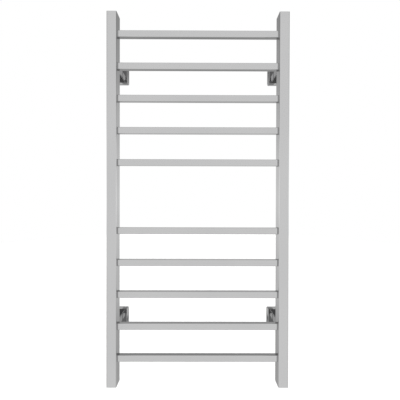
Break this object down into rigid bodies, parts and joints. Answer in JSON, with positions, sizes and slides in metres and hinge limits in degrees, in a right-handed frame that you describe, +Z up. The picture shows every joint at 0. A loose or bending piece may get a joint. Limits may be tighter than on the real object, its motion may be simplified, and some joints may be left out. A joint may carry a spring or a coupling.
{
  "type": "towel warmer",
  "caption": "Wall-hung electric ladder towel warmer: square uprights, flat bars in two groups, and square arms with cover plates over the wall plates.",
  "frame": {"origin": "on the wall, at the middle of the rectangle that the four wall plates make", "axes": "+X to the right seen from the room, +Y back into the wall, +Z up"},
  "size_m": [0.573, 0.074, 1.12],
  "materials": {
    "polished_steel": "polished",
    "plain_steel": "satin",
    "black_steel": "satin",
    "brass": "satin",
    "red_silicone": "satin",
    "white_sleeve": "matte",
    "white_ceramic": "gloss",
    "black_rubber": "matte"
  },
  "bodies": {
    "wall_plates": {"wall_plate_upper_left": "plain_steel", "wall_plate_upper_right": "plain_steel", "wall_plate_lower_left": "plain_steel", "wall_plate_lower_right": "plain_steel", "cable_grommet": "black_rubber", "earth_washer": "brass", "earth_screw": "brass"},
    "rack": {"left_upright": "polished_steel", "right_upright": "polished_steel", "left_top_cap": "polished_steel", "left_bottom_cap": "polished_steel", "right_top_cap": "polished_steel", "right_bottom_cap": "polished_steel", "towel_bar_01": "polished_steel", "towel_bar_02": "polished_steel", "towel_bar_03": "polished_steel", "towel_bar_04": "polished_steel", "towel_bar_05": "polished_steel", "towel_bar_06": "polished_steel", "towel_bar_07": "polished_steel", "towel_bar_08": "polished_steel", "towel_bar_09": "polished_steel", "towel_bar_10": "polished_steel", "arm_upper_left": "polished_steel", "grub_screw_upper_left": "black_steel", "arm_upper_right": "polished_steel", "grub_screw_upper_right": "black_steel", "arm_lower_left": "polished_steel", "grub_screw_lower_left": "black_steel", "arm_lower_right": "polished_steel", "grub_screw_lower_right": "black_steel", "heating_cable": "red_silicone", "cable_splice": "black_rubber", "return_lead": "white_sleeve", "thermal_cutout": "white_ceramic", "cutout_lead": "white_sleeve", "joint_block": "white_ceramic"},
    "cover_upper_left": {"cover_plate_upper_left": "polished_steel"},
    "cover_upper_right": {"cover_plate_upper_right": "polished_steel"},
    "cover_lower_left": {"cover_plate_lower_left": "polished_steel"},
    "cover_lower_right": {"cover_plate_lower_right": "polished_steel"}
  },
  "joints": [
    {"name": "rack_pull_off", "type": "slide", "parent": "wall_plates", "child": "rack", "axis": [0, -1, 0], "range_m": [0, 0.022]},
    {"name": "cover_upper_left_slide", "type": "slide", "parent": "rack", "child": "cover_upper_left", "axis": [0, -1, 0], "range_m": [0, 0.032]},
    {"name": "cover_upper_right_slide", "type": "slide", "parent": "rack", "child": "cover_upper_right", "axis": [0, -1, 0], "range_m": [0, 0.032]},
    {"name": "cover_lower_left_slide", "type": "slide", "parent": "rack", "child": "cover_lower_left", "axis": [0, -1, 0], "range_m": [0, 0.032]},
    {"name": "cover_lower_right_slide", "type": "slide", "parent": "rack", "child": "cover_lower_right", "axis": [0, -1, 0], "range_m": [0, 0.032]}
  ]
}
